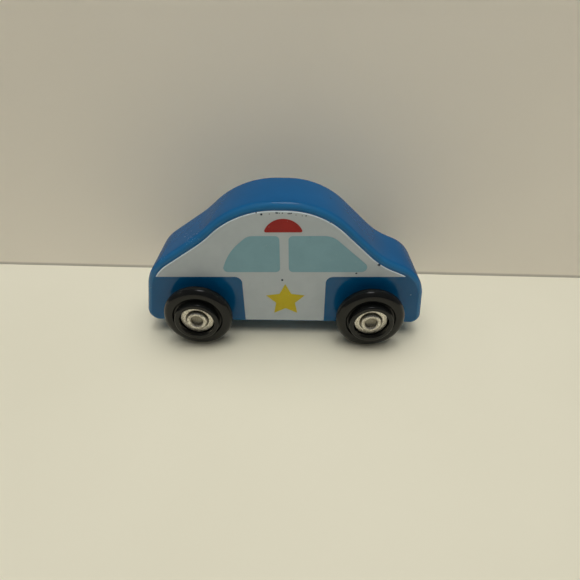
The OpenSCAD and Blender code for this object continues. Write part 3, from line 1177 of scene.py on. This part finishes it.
        share = mesh.attributes.new("rim", "FLOAT", "POINT")
        share.data.foreach_set("value", np.tile(rim, 2).astype(np.float32))
        tidy(mesh, self.sharp_deg)
        mesh.materials.append(self.finishes[slot])
        piece = new_object(f"print_{side.label}_{name}", mesh)
        dress(piece, "car", slot, f"{side.label}_{name}")
        return piece

    def flat_edge(self, inward: float = 0.0) -> np.ndarray:
        """Returns the edge of the block's flat side, or a line that runs inside it."""
        points, normals, edges = self.block.outline().samples()
        return points - normals * (edges + inward)[:, None]

    def upper_edge(self, inward: float = 0.0) -> np.ndarray:
        """Returns the edge of the flat side, lowered to where the white ends, or a line inside it."""
        return self.flat_edge(inward) - np.array([0.0, self.panel_drop])

    def build_panel(self, side: Side) -> Piece:
        """Makes the white layer, bevelled along its upper edge.

        Args:
            side: Side of the car.

        Returns:
            The white layer.
        """
        flat, upper, own = self.flat_edge(), self.upper_edge(), self.panel_loop()
        rings = [self.upper_edge(d) for d in (self.bevel_w, 0.5 * self.rim_w, self.rim_w)]

        def keep(points: np.ndarray) -> np.ndarray:
            """Returns which points lie on the block's flat side and in the white."""
            return inside(points, flat) & inside(points, upper) & inside(points, own)

        def front(points: np.ndarray) -> np.ndarray:
            """Returns the face's distance from the middle, falling at the upper edge."""
            share = np.clip(-distance_out(points, upper) / self.bevel_w, 0.0, 1.0)
            return self.block.width / 2 + self.panel_t - self.bevel_h * (1.0 - share)

        loops, thickness = [flat, upper, own, *rings], self.panel_t + self.tuck
        return self.film("panel", side, loops, keep, front, thickness, Slot.WHITE)

    def build(self, side: Side) -> list[Piece]:
        """Makes all layers of one side.

        Args:
            side: Side of the car.

        Returns:
            The layers.
        """
        made = [self.build_panel(side)]
        top = self.block.width / 2 + self.panel_t + self.ink_t
        inks = (
            ("rear_window", self.rear_window(), Slot.WINDOW),
            ("front_window", self.front_window(), Slot.WINDOW),
            ("beacon", self.beacon(), Slot.RED), ("star", self.star(), Slot.YELLOW),
        )
        for name, loop, slot in inks:
            def keep(points: np.ndarray, loop: np.ndarray = loop) -> np.ndarray:
                """Returns which points lie in the ink."""
                return inside(points, loop)

            def front(points: np.ndarray) -> np.ndarray:
                """Returns the ink's flat face."""
                return np.full(len(points), top)

            made.append(self.film(name, side, [loop], keep, front, self.ink_t + self.tuck, slot))
        return made


@dataclass(frozen=True)
class SectionPoint:
    """A corner of a turned section: radius, distance off the block's side, rounding, and share of dirt and
    painted shade.
    """

    r: float
    w: float
    round_r: float = 0.0
    soil_and_shade: float = 0.0


def section_mesh(points: Sequence[SectionPoint], foot: float, way: int, closed: bool) -> bpy.types.Mesh:
    """Makes the mesh line of a turned section, with its corners rounded.

    Args:
        points: Corners of the section, in millimetres.
        foot: Distance of the block's side from the car's middle, in millimetres.
        way: Sign of Y.
        closed: True if the last corner joins the first one.

    Returns:
        Points of radius and Y, with the attribute crease that holds the share of dirt and painted shade.
    """
    places = np.array([[p.r, p.w] for p in points])
    line, soil_and_shade = [], []
    for i, p in enumerate(points):
        arc = places[i:i + 1]
        if p.round_r > 0 and (closed or 0 < i < len(points) - 1):
            after = places[(i + 1) % len(points)]
            arc, _ = corner_arc(places[i], places[i - 1], after, p.round_r, SECTION_STEP_DEG, SECTION_LEAST)
        line.extend(arc)
        soil_and_shade.extend([p.soil_and_shade] * len(arc))
    if closed:
        line.append(line[0])
        soil_and_shade.append(soil_and_shade[0])
    mesh = bpy.data.meshes.new("section")
    places = [(r * MM, way * (foot + w) * MM, 0.0) for r, w in line]
    mesh.from_pydata(places, [(k, k + 1) for k in range(len(places) - 1)], [])
    crease = mesh.attributes.new("crease", "FLOAT", "POINT")
    crease.data.foreach_set("value", np.array(soil_and_shade, dtype=np.float32))
    return mesh


@dataclass
class Turned:
    """What turned pieces share: the rule, the finish and the place of the block's side in millimetres."""

    rule: RuleTree
    finish: bpy.types.Material
    foot: float = 10.5
    steps: int = 144

    def turn(
        self, name: str, points: Sequence[SectionPoint], side: Side, centre: Vector, closed: bool = True,
    ) -> Piece:
        """Returns a section of millimetres, turned about the middle of its axle in metres."""
        line = section_mesh(points, self.foot, side.value, closed)
        return self.rule.make(name, line, {"Steps": self.steps, "Centre": centre, "Finish": self.finish})


@dataclass
class Wheel(Turned):
    """A moulded wheel with a rounded tyre and a raised hub collar, in millimetres."""

    gap: float = 0.7
    setback: float = 1.5
    width: float = 4.2
    radius: float = 11.15
    shoulder_r: float = 1.9
    seam_w: float = 0.24
    seam_h: float = 0.04
    lip_r: float = 7.75
    lip_edge_r: float = 0.5
    hollow: float = 0.7
    collar_r: float = 7.1
    collar_face: float = 8.2
    collar_edge_r: float = 0.6
    seat_r: float = 5.6
    seat_floor: float = 5.45
    bore_r: float = 2.55
    fillet: float = 0.15

    def section(self) -> list[SectionPoint]:
        """Lists the corners of the wheel's section.

        Returns:
            The corners in order.
        """
        back, r = self.gap + self.setback, self.fillet
        face, middle = back + self.width, back + self.width / 2
        pit, low = face - self.hollow, self.radius - self.seam_h
        rows = (
            (self.bore_r, self.gap, r), (self.collar_r, self.gap, r), (self.collar_r, back, r),
            (low, back, self.shoulder_r), (low, middle - self.seam_w / 2), (self.radius, middle),
            (low, middle + self.seam_w / 2), (low, face, self.shoulder_r),
            (self.lip_r, face, self.lip_edge_r), (self.lip_r, pit, r), (self.collar_r, pit, r),
            (self.collar_r, self.collar_face, self.collar_edge_r), (self.seat_r, self.collar_face, r),
            (self.seat_r, self.seat_floor, r), (self.bore_r, self.seat_floor, r),
        )
        return [SectionPoint(*row) for row in rows]

    def build(self, end: End, side: Side, centre: Vector) -> Piece:
        """Makes one wheel.

        Args:
            end: End of the car.
            side: Side of the car.
            centre: Middle of the axle, in metres.

        Returns:
            The wheel.
        """
        name = f"{end.value}_{side.label}_wheel"
        piece = self.turn("moulded_" + name, self.section(), side, centre)
        dress(piece, name, Slot.BLACK, name)
        return piece


@dataclass
class AxleSet(Turned):
    """A rod with rolled tubular ends and its two washers, in millimetres."""

    steps: int = 112
    rod_r: float = 2.5
    hole_r: float = 1.9
    hole_depth: float = 1.5
    hole_fillet: float = 0.3
    hole_soil_and_shade: float = 0.4
    bead_r: float = 0.775
    bead_lift: float = 0.35
    bead_points: int = 27
    washer_face: float = 6.5
    washer_t: float = 0.8
    washer_r: float = 5.35
    washer_edge_r: float = 0.25
    back_edge_r: float = 0.15
    bore_r: float = 2.55
    bore_edge_r: float = 0.1
    soil_and_shade_from: float = 0.35
    soil_and_shade_full: float = 0.2
    soil_and_shade_under: float = 0.05

    def rod_end(self) -> list[SectionPoint]:
        """Lists the corners of one end of the rod, from the hole's floor to the rod's side.

        Returns:
            The corners in order.
        """
        hub, r = self.hole_r + self.bead_r, self.bead_r
        middle, back = self.washer_face + self.bead_lift, self.washer_face - self.washer_t
        floor = middle + r - self.hole_depth
        turns = np.linspace(math.pi, -math.asin(self.bead_lift / r), self.bead_points)
        # The underside of the rolled end, the rod's side and the hole take dirt and painted shade.
        bead = [(hub + r * math.cos(a), middle + r * math.sin(a), 0.0, max(0.0, -math.sin(a))) for a in turns]
        rows = (
            (0.0, floor), (self.hole_r, floor, self.hole_fillet, self.hole_soil_and_shade), *bead,
            (self.rod_r, self.washer_face, 0.0, 1.0), (self.rod_r, back, 0.0, 1.0),
        )
        return [SectionPoint(*row) for row in rows]

    def build_rod(self, end: End, centre: Vector) -> Piece:
        """Makes the rod with both ends.

        Args:
            end: End of the car.
            centre: Middle of the axle, in metres.

        Returns:
            The rod.
        """
        right = self.rod_end()
        left = [SectionPoint(p.r, -2 * self.foot - p.w, p.round_r, p.soil_and_shade) for p in reversed(right)]
        piece = self.turn(f"rolled_{end.value}_axle", right + left, Side.RIGHT, centre, False)
        dress(piece, f"{end.value}_axle_set", Slot.STEEL, f"{end.value}_axle")
        return piece

    def build_washer(self, end: End, side: Side, centre: Vector) -> Piece:
        """Makes one washer.

        Args:
            end: End of the car.
            side: Side of the car.
            centre: Middle of the axle, in metres.

        Returns:
            The washer.
        """
        name = f"{end.value}_{side.label}_washer"
        face, bead_edge = self.washer_face, self.hole_r + 2 * self.bead_r
        back = face - self.washer_t
        # The washer's face takes dirt and painted shade under and around the rolled end.
        rows = (
            (self.bore_r, back, self.bore_edge_r), (self.washer_r, back, self.back_edge_r),
            (self.washer_r, face, self.washer_edge_r), (bead_edge + self.soil_and_shade_from, face),
            (bead_edge + self.soil_and_shade_full, face, 0.0, 1.0), (bead_edge - self.soil_and_shade_under, face, 0.0, 1.0),
            (self.bore_r, face, self.bore_edge_r, 1.0),
        )
        piece = self.turn("stamped_" + name, [SectionPoint(*row) for row in rows], side, centre)
        dress(piece, f"{end.value}_axle_set", Slot.STEEL, name)
        return piece


@dataclass(frozen=True)
class Lamp:
    """A soft square lamp that points at the car."""

    name: str
    place: Triple
    size: float
    power: float
    mirrored: bool = True

    def build(self) -> Piece:
        """Makes the lamp and turns it towards the car.

        Returns:
            The lamp.
        """
        data = bpy.data.lights.new(self.name, "AREA")
        data.size, data.energy = self.size, self.power
        lamp = new_object(self.name, data)
        lamp.location = self.place
        lamp.visible_glossy = self.mirrored
        lamp.rotation_euler = (-Vector(self.place)).to_track_quat("-Z", "Y").to_euler()
        return lamp


@dataclass(frozen=True)
class PhotoCamera:
    """The camera at the photograph's angle, solved from the car's outline; place in metres."""

    place: Triple = (0.0024514, -0.11476, 0.095982)
    pitch: float = 0.6381078
    yaw: float = -0.005258
    roll: float = -0.009502
    focal_px: float = 400.0
    image_px: float = 580.0
    sensor: float = 36.0
    nearest: float = 0.005
    farthest: float = 20.0

    def build(self) -> Piece:
        """Makes the scene's camera.

        Returns:
            The camera.
        """
        run = math.cos(self.pitch)
        ahead = Vector((math.sin(self.yaw) * run, math.cos(self.yaw) * run, -math.sin(self.pitch)))
        level = Vector((math.cos(self.yaw), -math.sin(self.yaw), 0.0))
        down = ahead.cross(level)
        right = math.cos(self.roll) * level + math.sin(self.roll) * down
        down = math.cos(self.roll) * down - math.sin(self.roll) * level
        data = bpy.data.cameras.new("photo_camera")
        data.sensor_width, data.lens = self.sensor, self.sensor * self.focal_px / self.image_px
        data.clip_start, data.clip_end = self.nearest, self.farthest
        camera = new_object("photo_camera", data)
        turn = Matrix((right, -down, -ahead)).transposed().to_4x4()
        camera.matrix_world = Matrix.Translation(self.place) @ turn
        bpy.context.scene.camera = camera
        return camera


@dataclass
class Studio:
    """A plain pale floor with a pale wall behind it, soft light and the camera, in metres."""

    floor_half: float = 3.0
    wall_y: float = 0.0284
    wall_slope: float = -0.0205
    wall_h: float = 1.2
    sky: float = 0.14
    floor: Backdrop = Backdrop("studio_floor", (0.94, 0.885, 0.68), (0.91, 0.855, 0.65))
    wall: Backdrop = Backdrop("studio_wall", (0.94, 0.88, 0.77), (0.92, 0.86, 0.75), True, 0.07, 0.0018)
    far_wall: Backdrop = Backdrop("studio_far_wall", (0.92, 0.88, 0.76), (0.9, 0.86, 0.74), True, 0.3)
    lamps: tuple[Lamp, ...] = (
        Lamp("overhead_lamp", (0.015, 0.05, 0.9), 1.0, 5.8, False),
        Lamp("small_lamp", (0.03, 0.02, 0.9), 0.22, 0.8),
    )

    def plane(self, name: str, corners: list[Triple], finish: Backdrop) -> Piece:
        """Makes one flat surface of the studio.

        Args:
            name: Name of the surface.
            corners: Its four corners.
            finish: Its finish.

        Returns:
            The surface.
        """
        mesh = bpy.data.meshes.new(name)
        mesh.from_pydata(corners, [], [(0, 1, 2, 3)])
        mesh.materials.append(finish.material())
        piece = new_object(name, mesh)
        return piece

    def build(self) -> None:
        """Makes the floor, the wall, the lamps, the world's light and the camera."""
        h, top = self.floor_half, self.wall_h
        left, right = (-h, self.wall_y - h * self.wall_slope), (h, self.wall_y + h * self.wall_slope)
        self.plane("floor", [(-h, -h, 0.0), (h, -h, 0.0), (*right, 0.0), (*left, 0.0)], self.floor)
        behind = [(*left, 0.0), (*right, 0.0), (h, h, 0.0), (-h, h, 0.0)]
        self.plane("floor_behind", behind, self.floor).visible_glossy = False
        walls = [self.plane("wall", [(*left, 0.0), (*right, 0.0), (*right, top), (*left, top)], self.wall)]
        corners = [(-h, -h), (-h, h), (h, h), (h, -h)]
        for k, (a, b) in enumerate(zip(corners, corners[1:] + corners[:1])):
            walls.append(self.plane(f"far_wall_{k}", [(*a, 0.0), (*b, 0.0), (*b, h), (*a, h)], self.far_wall))
        for wall in walls:
            wall.visible_shadow = False
            wall.visible_diffuse = False
            wall.visible_glossy = False
        for lamp in self.lamps:
            lamp.build()
        world = bpy.data.worlds.new("studio_world")
        world.use_nodes = True
        bpy.context.scene.world = world
        sky = world.node_tree.nodes["Background"]
        sky.inputs["Color"].default_value = (1.0, 1.0, 1.0, 1.0)
        sky.inputs["Strength"].default_value = self.sky
        PhotoCamera().build()
        bpy.context.scene.view_settings.view_transform = "Standard"
        LOG.info("studio is set")


@dataclass
class ToyCar:
    """The whole car: block, prints, wheels and axles."""

    blue: BluePaint = BluePaint()
    white: WhiteInk = WhiteInk("white_print", (0.58, 0.64, 0.68), (0.55, 0.61, 0.65))
    window: PrintInk = PrintInk("pale_blue_print", (0.265, 0.475, 0.56), (0.245, 0.445, 0.53))
    red: PrintInk = PrintInk("red_print", (0.4, 0.014, 0.012), (0.36, 0.011, 0.01))
    yellow: PrintInk = PrintInk("yellow_print", (0.66, 0.53, 0.014), (0.62, 0.49, 0.011))
    black: WheelPlastic = WheelPlastic()
    steel: HubSteel = HubSteel()

    def axles(self) -> dict[End, Vector]:
        """Returns the middle of each axle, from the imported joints."""
        places = {j["name"]: Vector(j["pos_m"]) for j in frame["joints"]}
        return {end: places[f"{end.value}_axle_turn"] for end in End}

    def build(self) -> None:
        """Makes every piece in order."""
        axles = self.axles()
        block = Block(self.blue.material())
        block.build(axles)
        inks = {
            Slot.WHITE: self.white.material(), Slot.WINDOW: self.window.material(),
            Slot.RED: self.red.material(), Slot.YELLOW: self.yellow.material(),
        }
        prints = SidePrint(block, inks)
        for side in Side:
            prints.build(side)
        rule = turned_tree()
        wheel = Wheel(rule, self.black.material())
        axle = AxleSet(rule, self.steel.material())
        for end, centre in axles.items():
            axle.build_rod(end, centre)
            for side in Side:
                axle.build_washer(end, side, centre)
                wheel.build(end, side, centre)


def main() -> None:
    """Builds the car and its studio."""
    logging.basicConfig(level=logging.INFO, format="%(name)s: %(message)s")
    ToyCar().build()
    Studio().build()


if __name__ == "__main__":
    main()
